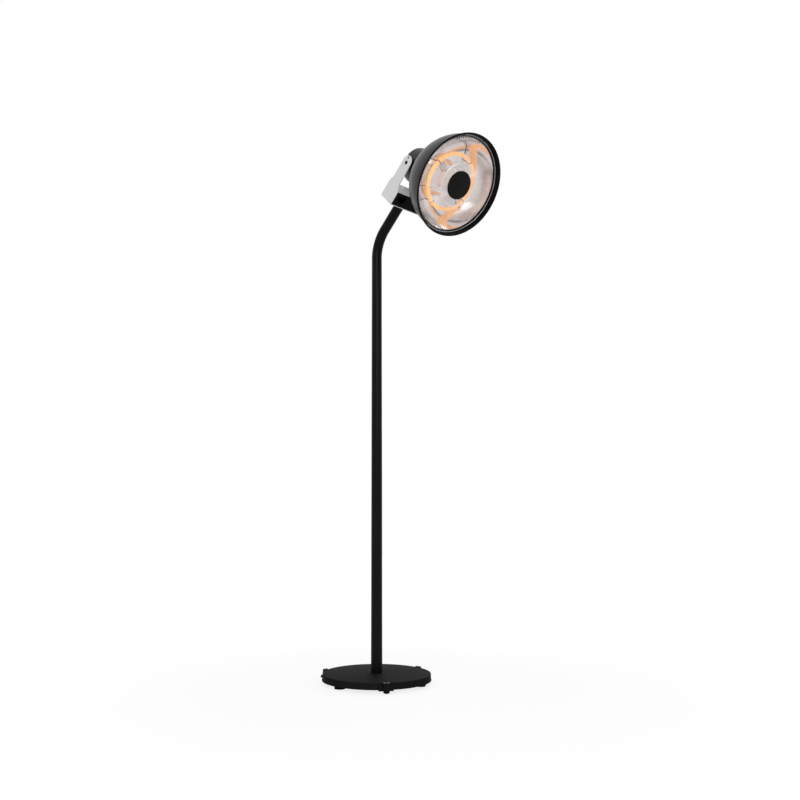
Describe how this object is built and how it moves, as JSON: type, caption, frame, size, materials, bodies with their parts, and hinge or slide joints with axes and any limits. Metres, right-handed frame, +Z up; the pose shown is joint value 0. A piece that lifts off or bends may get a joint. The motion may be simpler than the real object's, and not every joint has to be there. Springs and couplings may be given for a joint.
{
  "type": "infrared patio heater tower",
  "caption": "Free-standing infrared patio heater: round weighted base, bent pole, folded yoke and a tilting round head with a radial wire grille over a mirror bowl and ring lamp.",
  "frame": {"origin": "centre of the bounding box at floor level, so the pole stands behind it and slightly to -X", "axes": "+Z up, the head looks towards -Y, X is the direction of the head's tilt axis"},
  "size_m": [0.4206, 0.797, 2.0468],
  "materials": {
    "black_coat": "satin black powder coat",
    "grey_sheet": "matt light grey sheet",
    "shell_metal": "satin black coat on spun sheet",
    "mirror_metal": "polished mirror",
    "grille_wire": "bright wire",
    "ballast_iron": "raw casting",
    "black_rubber": "matt",
    "black_plastic": "fine matt",
    "white_ceramic": "glazed",
    "lamp_glass": "clear quartz",
    "lamp_core": "glowing heating core",
    "fastener_steel": "zinc plated"
  },
  "bodies": {
    "stand": {"base_cover": "black_coat", "base_plate": "black_coat", "ballast_disc": "ballast_iron", "cable_grommet": "black_rubber", "pad_1": "black_rubber", "pad_2": "black_rubber", "pad_3": "black_rubber", "lug_1": "black_coat", "lug_2": "black_coat", "lug_3": "black_coat", "lug_bolts_1": "fastener_steel", "lug_bolts_2": "fastener_steel", "lug_bolts_3": "fastener_steel", "pole_tube": "black_coat", "pole_plug": "fastener_steel", "pole_bolts": "fastener_steel", "escutcheon": "black_coat", "yoke": "grey_sheet", "junction_box": "black_plastic", "junction_cover": "black_plastic", "cover_screws": "black_coat", "box_grommet": "black_rubber", "tube_flange": "fastener_steel", "flange_bolts": "fastener_steel", "terminal_strip": "white_ceramic", "pivot_bolt_left": "black_coat", "pivot_bolt_right": "black_coat", "pivot_washer_left": "black_plastic", "pivot_washer_right": "black_plastic"},
    "head": {"shell": "shell_metal", "bezel": "black_coat", "ring_carrier": "black_coat", "grille": "grille_wire", "badge": "black_coat", "reflector": "mirror_metal", "lamp_tube": "lamp_glass", "lamp_element": "lamp_core", "lamp_clip_1": "fastener_steel", "lamp_clip_2": "fastener_steel", "lamp_clip_3": "fastener_steel", "lamp_clip_4": "fastener_steel", "lamp_socket": "white_ceramic", "socket_bracket": "fastener_steel", "lamp_leads": "fastener_steel", "standoff_1": "fastener_steel", "standoff_2": "fastener_steel", "standoff_3": "fastener_steel", "standoff_4": "fastener_steel", "plate_screws": "fastener_steel", "heat_shield": "grey_sheet", "rear_can": "shell_metal", "can_lid": "shell_metal", "lid_screws": "fastener_steel", "head_gland": "black_plastic", "head_terminal": "white_ceramic"},
    "leveller_1": {"foot_1": "black_plastic"},
    "leveller_2": {"foot_2": "black_plastic"},
    "leveller_3": {"foot_3": "black_plastic"}
  },
  "joints": [
    {"name": "head_tilt", "type": "hinge", "parent": "stand", "child": "head", "pos_m": [-0.00907, -0.07543, 1.96484], "axis": [1, 0, 0], "range_deg": [-36, 25]},
    {"name": "foot_screw_1", "type": "slide", "parent": "stand", "child": "leveller_1", "axis": [0, 0, -1], "range_m": [0, 0.008]},
    {"name": "foot_screw_2", "type": "slide", "parent": "stand", "child": "leveller_2", "axis": [0, 0, -1], "range_m": [0, 0.008]},
    {"name": "foot_screw_3", "type": "slide", "parent": "stand", "child": "leveller_3", "axis": [0, 0, -1], "range_m": [0, 0.008]}
  ]
}
